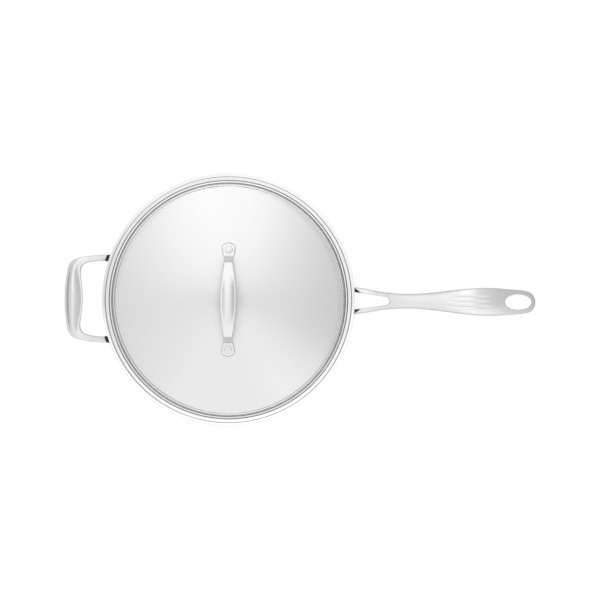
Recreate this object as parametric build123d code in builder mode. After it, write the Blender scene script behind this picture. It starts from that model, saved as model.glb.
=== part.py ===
from build123d import *
import os
from math import asin, cos, degrees, radians, sin, sqrt

# The pan stands on the plane z = 0 and its bowl is round about the Z axis.
# The long handle points along +X, the helper handle along -X, and +Z is up.
# Left pieces lie on the +Y side, right pieces on the -Y side.

# Fits
seat_gap = 0.05  # between pieces that are brazed, bonded or riveted to a round face
rivet_hole_gap = 0.05  # round each shank and post
lid_gap = 0.3  # between the loose lid and the lip that carries it
overrun = 3.0  # how far a cutting shape runs past the faces that it cuts

# Bowl of the pan, pressed from sheet, with a flared pouring lip
pan_inner_radius = 139.0
pan_wall = 1.0
pan_depth = 64.0
pan_corner_radius = 15.0
lip_flare_radius = 5.5
lip_level_width = 0.5
edge_round_share = 0.4  # of the sheet, on the bare edges of the lip and the lid

# Heat spreading base under the bowl
core_radius = 118.0
core_thickness = 5.4
core_corner_radius = 2.0
cap_wall = 0.6
cap_reveal = 0.9

# Lid, pressed from sheet
lid_wall = 0.8
lid_overlap = 2.0
lid_bend_radius = 0.6
skirt_clearance = 1.0
skirt_draft_width = 0.8
groove_width = 2.4
groove_depth = 5.2
step_draft_width = 1.2
step_height = 4.6
bead_width = 2.4
bead_height = 0.7
crease_width = 0.8
dome_rise = 8.5

# Handle of the lid
lid_rivet_spacing = 114.8
lid_foot_width = 16.0
lid_foot_thickness = 2.6
lid_fold_width = 11.4
lid_fold_spacing = 95.4
lid_grip_length = 86.4
lid_grip_width = 19.1
lid_grip_end_width = 10.6
lid_grip_crown = 2.4
lid_grip_thickness = 5.2
lid_shoulder_rise = 28.0
lid_arch_rise = 4.0
lid_fold_radius = 4.0
lid_shoulder_radius = 5.0
arch_bend_share = 0.9  # how much of the grip's half length the arch bends over

# Rivets of the lid, with a washer under the sheet
lid_rivet_diameter = 5.0
lid_rivet_head_diameter = 8.9
lid_rivet_head_height = 1.5
lid_rivet_tail_diameter = 7.4
lid_rivet_tail_height = 1.1
washer_diameter = 12.0
washer_thickness = 1.0

# Brackets between the handles and the bowl
bracket_thickness = 2.4
bracket_height = 18.0
bracket_corner_radius = 5.0
bracket_lip_clearance = 1.5
post_diameter = 3.2
post_length = 14.0
rivet_edge_distance = 6.5

# Rivets through the wall of the bowl
wall_rivet_diameter = 4.6
wall_rivet_head_diameter = 9.0
wall_rivet_head_height = 1.5
wall_rivet_tail_diameter = 6.6
wall_rivet_tail_height = 0.9
long_rivet_pitch = 23.5
helper_rivet_pitch = 9.5

# Long handle
long_handle_reach = 206.3  # from the edge of the lip to the tip
fork_width = 32.6
fork_height = 10.0
slot_root_width = 19.8
slot_end_width = 9.2
slot_length = 39.3  # from the edge of the lip to the end of the slot
neck_distance = 61.6
neck_width = 16.0
neck_height = 9.6
grip_distance = 151.2
grip_width = 31.8
grip_height = 11.6
tip_width = 27.4
tip_height = 8.2
handle_rise = 40.0
tip_droop = 1.6
hole_length = 29.8
hole_width = 17.4
hole_tip_margin = 5.3
finger_groove_length = 78.0
finger_groove_radius = 3.2
finger_groove_depth = 1.0
finger_groove_pitch = 6.0

# Stations of the long handle, from root to neck, neck to grip and grip to tip. Each row gives
# how far along the way the station is, then how much of the change in the section's width, in
# its height and in the height of its middle has happened there, all as shares.
root_to_neck_shares = (
    (-0.15, -0.12, -0.15, -0.08),
    (0.13, 0.16, 0.10, 0.09),
    (0.44, 0.62, 0.50, 0.40),
    (0.72, 0.90, 0.85, 0.71),
    (1.00, 1.00, 1.00, 1.00),
)
neck_to_grip_shares = (
    (0.23, 0.15, 0.15, 0.29),
    (0.46, 0.46, 0.45, 0.57),
    (0.72, 0.81, 0.80, 0.83),
    (1.00, 1.00, 1.00, 1.00),
)
grip_to_tip_shares = (
    (0.36, 0.17, 0.30, -0.10),
    (0.68, 0.54, 0.66, 0.26),
)
neck_rise_share = 0.47  # of the handle's whole rise, reached at the neck
side_round_share = 0.36  # of a section's height, the radius of its sides

# Heat breaks between the handles and their brackets
long_spacer_length = 9.8
helper_spacer_reach = 3.5  # past the edge of the lip

# Helper handle
helper_reach = 43.4  # from the edge of the lip to the outermost point
helper_width = 102.0
helper_lean = 3.4
helper_leg_width = 7.4
helper_corner_leg_width = 6.0
helper_leg_height = 6.0
helper_grip_width = 21.6
helper_grip_end_width = 14.6
helper_grip_bow = 3.2
helper_grip_crown = 3.4
helper_rise = 7.0
helper_outer_corner = 24.0
helper_inner_corner = 10.0

# Heights and radii that several pieces follow
floor_underside = cap_wall + core_thickness
floor_top = floor_underside + pan_wall
rim_top = floor_top + pan_depth
rim_radius = pan_inner_radius + lip_flare_radius + lip_level_width
wall_outer_radius = pan_inner_radius + pan_wall
flare_centre_radius = pan_inner_radius + lip_flare_radius
flare_start = rim_top - lip_flare_radius
bracket_inner_radius = wall_outer_radius + seat_gap
bracket_outer_radius = bracket_inner_radius + bracket_thickness
bracket_middle = flare_start - bracket_lip_clearance - bracket_height / 2
spacer_inner_radius = bracket_outer_radius + seat_gap
rivet_hole_radius = wall_rivet_diameter / 2 + rivet_hole_gap
post_hole_radius = post_diameter / 2 + rivet_hole_gap

# The lid's upper surface, from its edge to the crown of the dome
lid_edge_radius = pan_inner_radius + lid_overlap
skirt_radius = pan_inner_radius - skirt_clearance - lid_wall
groove_outer_radius = skirt_radius - skirt_draft_width
groove_inner_radius = groove_outer_radius - groove_width
bead_outer_radius = groove_inner_radius - step_draft_width
bead_inner_radius = bead_outer_radius - bead_width
dome_edge_radius = bead_inner_radius - crease_width
flare_drop = sqrt((lip_flare_radius + lid_gap) ** 2 - (flare_centre_radius - lid_edge_radius) ** 2)
flange_top = flare_start + flare_drop + lid_wall
groove_floor = flange_top - groove_depth
bead_top = flange_top + step_height
dome_edge_height = bead_top - bead_height
dome_top = dome_edge_height + dome_rise
dome_radius = (dome_edge_radius**2 + dome_rise**2) / (2 * dome_rise)
dome_centre = dome_top - dome_radius
outer_bend = lid_bend_radius + lid_wall

# Places along the long handle
neck_x = rim_radius + neck_distance
grip_x = rim_radius + grip_distance
tip_x = rim_radius + long_handle_reach
slot_end_x = rim_radius + slot_length
hole_x = tip_x - hole_tip_margin - hole_length / 2
grip_middle = bracket_middle + handle_rise
neck_middle = bracket_middle + handle_rise * neck_rise_share
post_y = (fork_width + slot_root_width) / 4

# Places on the helper handle
helper_leg_y = (helper_width - helper_leg_width) / 2
helper_outer_x = rim_radius + helper_reach
helper_grip_inner_x = helper_outer_x - helper_grip_width
helper_corner_x = helper_outer_x - helper_grip_bow
helper_corner_y = helper_width / 2 - helper_lean
helper_middle = bracket_middle + helper_rise
helper_leg_end_radius = rim_radius + helper_spacer_reach
helper_wall_x = sqrt(bracket_outer_radius**2 - helper_leg_y**2)
helper_root_x = sqrt(spacer_inner_radius**2 - (helper_width / 2) ** 2) - overrun
helper_slope = helper_rise / (helper_grip_inner_x - helper_wall_x)
helper_root_middle = bracket_middle - helper_slope * (helper_wall_x - helper_root_x)
helper_inner_corner_x = helper_corner_x - helper_grip_end_width
helper_inner_corner_y = helper_corner_y - helper_corner_leg_width


def radial_plane(angle, height):
    """A plane whose normal points outwards from the Z axis at this angle and height."""
    outwards = Vector(cos(radians(angle)), sin(radians(angle)), 0)
    sideways = Vector(-sin(radians(angle)), cos(radians(angle)), 0)
    return Plane(origin=(0, 0, height), x_dir=sideways, z_dir=outwards)


def helper_angle(side):
    """The angle about the Z axis at which a leg of the helper handle meets its bracket."""
    return 180 - side * degrees(asin(helper_leg_y / bracket_outer_radius))


def dome_height(distance):
    """Height of the lid's upper surface at this distance from the Z axis."""
    return dome_centre + sqrt(dome_radius**2 - distance**2)


def dome_plane(y, rise):
    """A plane parallel to the dome at this y and this rise above it, with its normal outwards."""
    outwards = Vector(0, y / dome_radius, sqrt(1 - (y / dome_radius) ** 2))
    origin = Vector(0, 0, dome_centre) + outwards * (dome_radius + rise)
    return Plane(origin=origin, x_dir=(1, 0, 0), z_dir=outwards)


def long_post_plane(side):
    """The root of a post of the long handle, with its normal along the prong."""
    x_share, _, _, climb_share = root_to_neck_shares[1]
    run = neck_distance * x_share
    climb = (neck_middle - bracket_middle) * climb_share
    along = Vector(run, -side * slot_taper * run, climb) / run
    root_x = sqrt(bracket_inner_radius**2 - post_y**2)
    origin = Vector(rim_radius, side * post_y, bracket_middle) - along * (rim_radius - root_x)
    return Plane(origin=origin, x_dir=(0, 1, 0), z_dir=along)


def helper_post_plane(side):
    """The root of a post of the helper handle, with its normal along the leg."""
    along = Vector(-1, 0, helper_slope)
    root_x = sqrt(bracket_inner_radius**2 - helper_leg_y**2)
    origin = Vector(-helper_wall_x, side * helper_leg_y, bracket_middle) - along * (helper_wall_x - root_x)
    return Plane(origin=origin, x_dir=(0, 1, 0), z_dir=along)


def saddle_plate(angle, width, rivet_angles):
    """A plate bent round the bowl, centred at this angle about the Z axis, with its rivet holes."""
    half_angle = degrees(width / 2 / bracket_inner_radius)
    start = radial_plane(angle - half_angle, bracket_middle)
    with BuildPart() as plate:
        with BuildSketch(Plane(origin=start.origin, x_dir=start.z_dir, z_dir=-start.x_dir)):
            with Locations(((bracket_inner_radius + bracket_outer_radius) / 2, 0)):
                Rectangle(bracket_thickness, bracket_height)
        revolve(axis=Axis.Z, revolution_arc=2 * half_angle)
        corners = plate.edges().filter_by(GeomType.LINE).group_by(SortBy.LENGTH)[0]
        fillet(corners, radius=bracket_corner_radius)
        for rivet_angle in rivet_angles:
            with BuildSketch(radial_plane(rivet_angle, bracket_middle).offset(pan_inner_radius)):
                Circle(rivet_hole_radius)
            extrude(amount=pan_wall + bracket_thickness + overrun, mode=Mode.SUBTRACT)
    return plate.part


def rivet(seat, hold, shank_radius, head_radius, head_height, tail_radius, tail_height):
    """A rivet with a domed head on the seat plane, its tail closed at hold along the normal."""
    with BuildPart() as one_rivet:
        with BuildSketch(Plane(origin=seat.origin, x_dir=seat.z_dir, z_dir=seat.y_dir)):
            with BuildLine():
                crown = TangentArc((-head_height, 0), (0, head_radius), tangent=(0, 1))
                Polyline(
                    crown @ 1,
                    (0, shank_radius),
                    (hold, shank_radius),
                    (hold, tail_radius),
                    (hold + tail_height, tail_radius),
                    (hold + tail_height, 0),
                    crown @ 0,
                )
            make_face()
        revolve(axis=Axis(seat.origin, seat.z_dir))
    return one_rivet.part


def wall_rivet(angle):
    """A rivet through the wall, its head inside the bowl and its tail on a bracket."""
    return rivet(
        radial_plane(angle, bracket_middle).offset(wall_rivet_seat),
        wall_rivet_hold,
        wall_rivet_diameter / 2,
        wall_rivet_head_diameter / 2,
        wall_rivet_head_height,
        wall_rivet_tail_diameter / 2,
        wall_rivet_tail_height,
    )


def lid_rivet(side):
    """A rivet through a foot of the lid's handle, the lid and a washer."""
    seat = dome_plane(side * lid_rivet_y, lid_foot_top + seat_gap)
    return rivet(
        Plane(origin=seat.origin, x_dir=seat.x_dir, z_dir=-seat.z_dir),
        lid_rivet_hold,
        lid_rivet_diameter / 2,
        lid_rivet_head_diameter / 2,
        lid_rivet_head_height,
        lid_rivet_tail_diameter / 2,
        lid_rivet_tail_height,
    )


def between(start, end, rows):
    """Stations of the long handle at rows of shares of each value's change from start to end."""
    return [
        tuple(first + (last - first) * share for first, last, share in zip(start, end, shares))
        for shares in rows
    ]


def crown_radius(width, height):
    """Radius of the crown that meets a section's rounded sides without a corner."""
    side_radius = height * side_round_share
    flat_width = width / 2 - side_radius
    return (flat_width**2 + (height / 2) ** 2 - side_radius**2) / (height - 2 * side_radius)


def oval_arcs(width, height):
    """Four tangent arcs round a section of the long handle, crowned above and below."""
    side_radius = height * side_round_share
    flat_width = width / 2 - side_radius
    crown = crown_radius(width, height)
    join_x = flat_width + side_radius * flat_width / (crown - side_radius)
    join_y = side_radius * (crown - height / 2) / (crown - side_radius)
    ThreePointArc((join_x, join_y), (0, height / 2), (-join_x, join_y))
    ThreePointArc((-join_x, join_y), (-width / 2, 0), (-join_x, -join_y))
    ThreePointArc((-join_x, -join_y), (0, -height / 2), (join_x, -join_y))
    ThreePointArc((join_x, -join_y), (width / 2, 0), (join_x, join_y))


def finish(piece, label):
    """Name a finished piece and write it to its own file."""
    piece.part.label = label
    export_step(piece.part, f"parts/{label}.step")
    print(label, round(piece.part.volume), piece.part.is_valid, len(piece.part.solids()))


# Sections of the long handle, each with its x, width, height and the height of its middle
tip_centre_x = tip_x - tip_width / 2
root_station = (rim_radius, fork_width, fork_height, bracket_middle)
neck_station = (neck_x, neck_width, neck_height, neck_middle)
grip_station = (grip_x, grip_width, grip_height, grip_middle)
tip_station = (tip_centre_x, tip_width, tip_height, grip_middle - tip_droop)
neck_stations = between(neck_station, grip_station, neck_to_grip_shares)
tip_stations = between(grip_station, tip_station, grip_to_tip_shares)
root_stations = between(root_station, neck_station, root_to_neck_shares)
long_handle_stations = root_stations + neck_stations + tip_stations
last_x, _, _, last_middle = tip_stations[-1]
tip_plane = Plane(
    origin=(tip_centre_x, 0, grip_middle - tip_droop),
    x_dir=(0, 1, 0),
    z_dir=(tip_centre_x - last_x, 0, grip_middle - tip_droop - last_middle),
)

# The slot between the prongs
slot_taper = (slot_root_width - slot_end_width) / 2 / (slot_length - slot_end_width / 2)
slot_start_x = long_handle_stations[0][0] - overrun
slot_start_y = slot_root_width / 2 + slot_taper * (rim_radius - slot_start_x)
slot_centre_x = slot_end_x - slot_end_width / 2

# The slanted cut that parts the heat breaks from the prongs
spacer_outer = Vector(sqrt(spacer_inner_radius**2 - (fork_width / 2) ** 2), fork_width / 2)
spacer_tip_x = bracket_outer_radius + long_spacer_length
spacer_tip = Vector(spacer_tip_x, slot_root_width / 2 - slot_taper * (spacer_tip_x - rim_radius))
spacer_slant = (spacer_outer - spacer_tip).normalized() * overrun
spacer_outer_end = spacer_outer + spacer_slant
spacer_tip_end = spacer_tip - spacer_slant
long_spacer_outline = (
    (slot_start_x, spacer_outer_end.Y),
    (spacer_outer_end.X, spacer_outer_end.Y),
    (spacer_tip_end.X, spacer_tip_end.Y),
    (spacer_tip_end.X, -spacer_tip_end.Y),
    (spacer_outer_end.X, -spacer_outer_end.Y),
    (slot_start_x, -spacer_outer_end.Y),
)

# The finger grooves, sunk into the crown on both sides of one station
before_x, _, before_height, before_middle = neck_stations[1]
groove_x, grooved_width, grooved_height, grooved_middle = neck_stations[2]
after_x, _, after_height, after_middle = neck_stations[3]
finger_groove_direction = Vector(
    after_x - before_x,
    0,
    after_middle + after_height / 2 - before_middle - before_height / 2,
)
finger_groove_height = grooved_middle + grooved_height / 2 + finger_groove_radius - finger_groove_depth
groove_crown = crown_radius(grooved_width, grooved_height)

# Rivets through the wall, by their angle about the Z axis
long_rivet_angles = tuple(degrees(step * long_rivet_pitch / wall_outer_radius) for step in (-1, 0, 1))
helper_rivet_angles = tuple(
    helper_angle(side) + degrees(step * helper_rivet_pitch / wall_outer_radius)
    for side in (1, -1)
    for step in (-1, 1)
)
wall_rivet_seat = sqrt(pan_inner_radius**2 - (wall_rivet_head_diameter / 2) ** 2) - seat_gap
wall_rivet_hold = bracket_outer_radius + seat_gap - wall_rivet_seat

# The middle line of the lid's strap handle, from foot to foot
lid_rivet_y = lid_rivet_spacing / 2
foot_end_y = lid_rivet_y + lid_foot_width / 2
fold_y = lid_fold_spacing / 2 - lid_grip_thickness / 2
shoulder_y = lid_grip_length / 2 - lid_grip_thickness / 2
foot_end_middle = dome_height(foot_end_y) + lid_grip_thickness / 2
fold_middle = dome_height(fold_y) + lid_grip_thickness / 2
shoulder_middle = dome_height(shoulder_y) + lid_shoulder_rise
arch_middle = shoulder_middle + lid_arch_rise
arch_radius = arch_bend_share * shoulder_y * shoulder_y / lid_arch_rise

# Rivets through the lid
lid_foot_top = lid_foot_thickness + seat_gap
lid_rivet_hold = lid_foot_top + lid_wall + washer_thickness + 3 * seat_gap

os.makedirs("parts", exist_ok=True)

# Bowl
with BuildPart() as pan_body:
    with BuildSketch(Plane.XZ):
        with BuildLine():
            bowl_side = FilletPolyline(
                (0, floor_top),
                (pan_inner_radius, floor_top),
                (pan_inner_radius, flare_start),
                radius=pan_corner_radius,
            )
            lip_arc = TangentArc(
                bowl_side @ 1,
                (flare_centre_radius, rim_top),
                tangent=bowl_side % 1,
            )
            Line(lip_arc @ 1, (rim_radius, rim_top))
            offset(amount=pan_wall, side=Side.RIGHT)
        make_face()
    revolve(axis=Axis.Z)
    rim_edges = pan_body.edges().filter_by(lambda edge: edge.is_closed).sort_by(SortBy.RADIUS)[-2:]
    fillet(rim_edges, radius=pan_wall * edge_round_share)
    for rivet_angle in long_rivet_angles + helper_rivet_angles:
        with BuildSketch(radial_plane(rivet_angle, bracket_middle).offset(pan_inner_radius - overrun)):
            Circle(rivet_hole_radius)
        extrude(amount=pan_wall + 2 * overrun, mode=Mode.SUBTRACT)
finish(pan_body, "pan_body")

# Base, an aluminium disc in a steel cap
with BuildPart() as base_core:
    with BuildSketch(Plane.XY.offset(cap_wall)):
        Circle(core_radius)
    extrude(amount=core_thickness)
    fillet(base_core.edges().group_by(Axis.Z)[0], radius=core_corner_radius)
finish(base_core, "base_core")

with BuildPart() as base_cap:
    with BuildSketch(Plane.XZ):
        with BuildLine():
            FilletPolyline(
                (0, cap_wall),
                (core_radius + seat_gap, cap_wall),
                (core_radius + seat_gap, floor_underside - cap_reveal),
                radius=core_corner_radius,
            )
            offset(amount=cap_wall, side=Side.RIGHT)
        make_face()
    revolve(axis=Axis.Z)
finish(base_cap, "base_cap")

# Brackets, each with the posts that carry its handle
long_saddle = saddle_plate(0, 2 * (long_rivet_pitch + rivet_edge_distance), long_rivet_angles)
with BuildPart() as long_handle_bracket:
    add(long_saddle)
    for side in (1, -1):
        with BuildSketch(long_post_plane(side)):
            Circle(post_diameter / 2)
        extrude(amount=post_length)
    with BuildSketch():
        Circle(bracket_inner_radius)
    extrude(amount=rim_top, mode=Mode.SUBTRACT)
finish(long_handle_bracket, "long_handle_bracket")

for side, side_name in ((1, "left"), (-1, "right")):
    helper_saddle = saddle_plate(
        helper_angle(side),
        2 * (helper_rivet_pitch + rivet_edge_distance),
        helper_rivet_angles,
    )
    with BuildPart() as helper_bracket:
        add(helper_saddle)
        with BuildSketch(helper_post_plane(side)):
            Circle(post_diameter / 2)
        extrude(amount=post_length)
        with BuildSketch():
            Circle(bracket_inner_radius)
        extrude(amount=rim_top, mode=Mode.SUBTRACT)
    finish(helper_bracket, f"helper_bracket_{side_name}")

# Rivets through the wall
long_rivet_pieces = [wall_rivet(rivet_angle) for rivet_angle in long_rivet_angles]
with BuildPart() as long_handle_rivets:
    add(long_rivet_pieces)
finish(long_handle_rivets, "long_handle_rivets")

helper_rivet_pieces = [wall_rivet(rivet_angle) for rivet_angle in helper_rivet_angles]
with BuildPart() as helper_rivets:
    add(helper_rivet_pieces)
finish(helper_rivets, "helper_rivets")

# Long handle with its heat breaks still in one piece, forked, with its hanging hole
with BuildPart() as long_handle_form:
    for station_x, width, height, middle in long_handle_stations:
        with BuildSketch(Plane(origin=(station_x, 0, middle), x_dir=(0, 1, 0), z_dir=(1, 0, 0))):
            with BuildLine():
                oval_arcs(width, height)
            make_face()
    with BuildSketch(tip_plane):
        with BuildLine():
            oval_arcs(tip_width, tip_height)
        make_face()
    loft()
    with BuildSketch(tip_plane):
        with BuildLine():
            oval_arcs(tip_width, tip_height)
        make_face()
        split(bisect_by=Plane.YZ)
    revolve(axis=Axis(tip_plane.origin, -tip_plane.y_dir), revolution_arc=180)
    with BuildSketch():
        with BuildLine():
            Polyline(
                (slot_start_x, slot_start_y),
                (slot_start_x, -slot_start_y),
                (slot_centre_x, -slot_end_width / 2),
                (slot_centre_x, slot_end_width / 2),
                close=True,
            )
        make_face()
        with Locations((slot_centre_x, 0)):
            Circle(slot_end_width / 2)
        with Locations((hole_x, 0)):
            Ellipse(hole_length / 2, hole_width / 2)
    extrude(amount=grip_middle + grip_height, mode=Mode.SUBTRACT)
    for groove_y in (-finger_groove_pitch, 0, finger_groove_pitch):
        crown_drop = groove_crown - sqrt(groove_crown**2 - groove_y**2)
        groove_plane = Plane(
            origin=(groove_x, groove_y, finger_groove_height - crown_drop),
            x_dir=finger_groove_direction,
            z_dir=(0, 1, 0),
        )
        with BuildSketch(groove_plane):
            with BuildLine():
                groove_arc = ThreePointArc(
                    (-finger_groove_length / 2, 0),
                    (0, finger_groove_radius),
                    (finger_groove_length / 2, 0),
                )
                Line(groove_arc @ 1, groove_arc @ 0)
            make_face()
        revolve(axis=Axis(groove_plane.origin, groove_plane.x_dir), mode=Mode.SUBTRACT)

with BuildPart() as long_handle:
    add(long_handle_form)
    with BuildSketch():
        with BuildLine():
            Polyline(*long_spacer_outline, close=True)
        make_face()
        Circle(spacer_inner_radius)
    extrude(amount=rim_top, mode=Mode.SUBTRACT)
    for side in (1, -1):
        with BuildSketch(long_post_plane(side)):
            Circle(post_hole_radius)
        extrude(amount=post_length + seat_gap, mode=Mode.SUBTRACT)
finish(long_handle, "long_handle")

for side, side_name in ((1, "left"), (-1, "right")):
    with BuildPart() as long_handle_spacer:
        add(long_handle_form)
        with BuildSketch():
            with BuildLine():
                Polyline(*long_spacer_outline, close=True)
            make_face()
            split(bisect_by=Plane.XZ, keep=Keep.BOTTOM if side > 0 else Keep.TOP)
        extrude(amount=rim_top, mode=Mode.INTERSECT)
        with BuildSketch():
            Circle(spacer_inner_radius)
        extrude(amount=rim_top, mode=Mode.SUBTRACT)
        with BuildSketch(long_post_plane(side)):
            Circle(post_hole_radius)
        extrude(amount=post_length + seat_gap, mode=Mode.SUBTRACT)
    finish(long_handle_spacer, f"long_handle_spacer_{side_name}")

# Helper handle with its heat breaks still in one piece
helper_top = helper_middle + helper_leg_height / 2
helper_bottom = helper_middle - helper_leg_height / 2
with BuildPart() as helper_form:
    with BuildSketch(Plane.XZ):
        with BuildLine():
            helper_underside = FilletPolyline(
                (-helper_root_x, helper_root_middle - helper_leg_height / 2),
                (-helper_grip_inner_x, helper_bottom),
                (-helper_outer_x, helper_bottom),
                radius=helper_grip_width,
            )
            Polyline(
                helper_underside @ 0,
                (-helper_root_x, helper_root_middle + helper_leg_height / 2),
                (-helper_grip_inner_x, helper_top),
            )
            ThreePointArc(
                (-helper_grip_inner_x, helper_top),
                (-(helper_outer_x + helper_grip_inner_x) / 2, helper_top + helper_grip_crown),
                (-helper_outer_x, helper_top),
            )
            Line((-helper_outer_x, helper_top), helper_underside @ 1)
        make_face()
    extrude(amount=helper_width / 2, both=True)
    with BuildSketch():
        with BuildLine():
            Polyline(
                (-helper_corner_x, helper_corner_y),
                (-helper_root_x, helper_width / 2),
                (-helper_root_x, -helper_width / 2),
                (-helper_corner_x, -helper_corner_y),
            )
            ThreePointArc(
                (-helper_corner_x, -helper_corner_y),
                (-helper_outer_x, 0),
                (-helper_corner_x, helper_corner_y),
            )
        outer_face = make_face()
        fillet(outer_face.vertices().group_by(Axis.X)[0], radius=helper_outer_corner)
    extrude(amount=rim_top, mode=Mode.INTERSECT)
    with BuildSketch():
        with BuildLine():
            Polyline(
                (-helper_inner_corner_x, helper_inner_corner_y),
                (overrun - helper_root_x, helper_width / 2 - helper_leg_width),
                (overrun - helper_root_x, helper_leg_width - helper_width / 2),
                (-helper_inner_corner_x, -helper_inner_corner_y),
            )
            ThreePointArc(
                (-helper_inner_corner_x, -helper_inner_corner_y),
                (-helper_grip_inner_x, 0),
                (-helper_inner_corner_x, helper_inner_corner_y),
            )
        inner_face = make_face()
        fillet(inner_face.vertices().group_by(Axis.X)[0], radius=helper_inner_corner)
    extrude(amount=rim_top, mode=Mode.SUBTRACT)

with BuildPart() as helper_handle:
    add(helper_form)
    with BuildSketch():
        Circle(helper_leg_end_radius + seat_gap)
    extrude(amount=rim_top, mode=Mode.SUBTRACT)
    for side in (1, -1):
        with BuildSketch(helper_post_plane(side)):
            Circle(post_hole_radius)
        extrude(amount=post_length + seat_gap, mode=Mode.SUBTRACT)
finish(helper_handle, "helper_handle")

for side, side_name in ((1, "left"), (-1, "right")):
    with BuildPart() as helper_spacer:
        add(helper_form)
        with BuildSketch():
            Circle(helper_leg_end_radius)
            split(bisect_by=Plane.XZ, keep=Keep.BOTTOM if side > 0 else Keep.TOP)
        extrude(amount=rim_top, mode=Mode.INTERSECT)
        with BuildSketch():
            Circle(spacer_inner_radius)
        extrude(amount=rim_top, mode=Mode.SUBTRACT)
        with BuildSketch(helper_post_plane(side)):
            Circle(post_hole_radius)
        extrude(amount=post_length + seat_gap, mode=Mode.SUBTRACT)
    finish(helper_spacer, f"helper_spacer_{side_name}")

# Lid
with BuildPart() as lid_body:
    with BuildSketch(Plane.XZ):
        with BuildLine():
            lid_side = FilletPolyline(
                (lid_edge_radius, flange_top),
                (skirt_radius, flange_top),
                (groove_outer_radius, groove_floor),
                (groove_inner_radius, groove_floor),
                (bead_outer_radius, bead_top),
                (bead_inner_radius, bead_top),
                (dome_edge_radius, dome_edge_height),
                radius=(outer_bend, lid_bend_radius, lid_bend_radius, outer_bend, outer_bend),
            )
            RadiusArc(lid_side @ 1, (0, dome_top), -dome_radius)
            offset(amount=lid_wall, side=Side.LEFT)
        make_face()
    revolve(axis=Axis.Z)
    flange_edges = lid_body.edges().filter_by(lambda edge: edge.is_closed).sort_by(SortBy.RADIUS)[-2:]
    fillet(flange_edges, radius=lid_wall * edge_round_share)
    for side in (1, -1):
        with BuildSketch(dome_plane(side * lid_rivet_y, overrun)):
            Circle(lid_rivet_diameter / 2 + rivet_hole_gap)
        extrude(amount=-lid_wall - 2 * overrun, mode=Mode.SUBTRACT)
finish(lid_body, "lid_body")

# Handle of the lid, a crowned strap bent into an arch and trimmed to its outline
with BuildPart() as lid_handle:
    with BuildLine() as arch_line:
        FilletPolyline(
            (0, -foot_end_y, foot_end_middle),
            (0, -fold_y, fold_middle),
            (0, -shoulder_y, shoulder_middle),
            (0, 0, arch_middle),
            (0, shoulder_y, shoulder_middle),
            (0, fold_y, fold_middle),
            (0, foot_end_y, foot_end_middle),
            radius=(
                lid_fold_radius,
                lid_shoulder_radius,
                arch_radius,
                lid_shoulder_radius,
                lid_fold_radius,
            ),
        )
    arch_start = Plane(origin=arch_line.line @ 0, x_dir=(-1, 0, 0), z_dir=arch_line.line % 0)
    with BuildSketch(arch_start):
        with BuildLine():
            strap_crown = ThreePointArc(
                (-lid_grip_width / 2, lid_grip_thickness / 2 - lid_grip_crown),
                (0, lid_grip_thickness / 2),
                (lid_grip_width / 2, lid_grip_thickness / 2 - lid_grip_crown),
            )
            Polyline(
                strap_crown @ 1,
                (lid_grip_width / 2, -lid_grip_thickness / 2),
                (-lid_grip_width / 2, -lid_grip_thickness / 2),
                strap_crown @ 0,
            )
        make_face()
    sweep(path=arch_line.line)
    with BuildSketch():
        with BuildLine():
            grip_side = TangentArc(
                (lid_grip_width / 2, 0),
                (lid_grip_end_width / 2, lid_grip_length / 2),
                tangent=(0, 1),
            )
            foot_side = Polyline(
                grip_side @ 1,
                (lid_fold_width / 2, lid_fold_spacing / 2),
                (lid_foot_width / 2, lid_rivet_y),
            )
            TangentArc(foot_side @ 1, (0, foot_end_y), tangent=(0, 1))
            mirror(about=Plane.YZ)
            mirror(about=Plane.XZ)
        make_face()
    extrude(amount=arch_middle + lid_grip_thickness, mode=Mode.INTERSECT)
    for side in (1, -1):
        with BuildSketch(dome_plane(side * lid_rivet_y, lid_foot_top)):
            with Locations((0, side * (lid_fold_spacing / 2 - lid_rivet_y + lid_foot_width))):
                Rectangle(lid_grip_width + overrun, 2 * lid_foot_width)
        extrude(amount=lid_shoulder_rise, mode=Mode.SUBTRACT)
        with BuildSketch(dome_plane(side * lid_rivet_y, overrun)):
            Circle(lid_rivet_diameter / 2 + rivet_hole_gap)
        extrude(amount=-2 * overrun, mode=Mode.SUBTRACT)
    with BuildSketch(Plane.XZ):
        with BuildLine():
            dome_arc = RadiusArc(
                (dome_edge_radius, dome_edge_height + seat_gap),
                (0, dome_top + seat_gap),
                -dome_radius,
            )
            Polyline(
                dome_arc @ 1,
                (0, dome_edge_height - overrun),
                (dome_edge_radius, dome_edge_height - overrun),
                dome_arc @ 0,
            )
        make_face()
    revolve(axis=Axis.Z, mode=Mode.SUBTRACT)
finish(lid_handle, "lid_handle")

# Rivets of the lid and the washers under it
lid_rivet_pieces = [lid_rivet(side) for side in (1, -1)]
with BuildPart() as lid_rivets:
    add(lid_rivet_pieces)
finish(lid_rivets, "lid_rivets")

with BuildPart() as lid_rivet_washers:
    for side in (1, -1):
        with BuildSketch(dome_plane(side * lid_rivet_y, -lid_wall - seat_gap)):
            Circle(washer_diameter / 2)
            Circle(lid_rivet_diameter / 2 + rivet_hole_gap, mode=Mode.SUBTRACT)
        extrude(amount=-washer_thickness)
finish(lid_rivet_washers, "lid_rivet_washers")
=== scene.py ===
"""A saute pan with its lid on, dressed and lit for a view from straight above."""

import logging
import math
from collections.abc import Callable, Iterable
from dataclasses import dataclass
from enum import Enum

import bmesh
import bpy
from mathutils import Matrix, Vector


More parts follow.
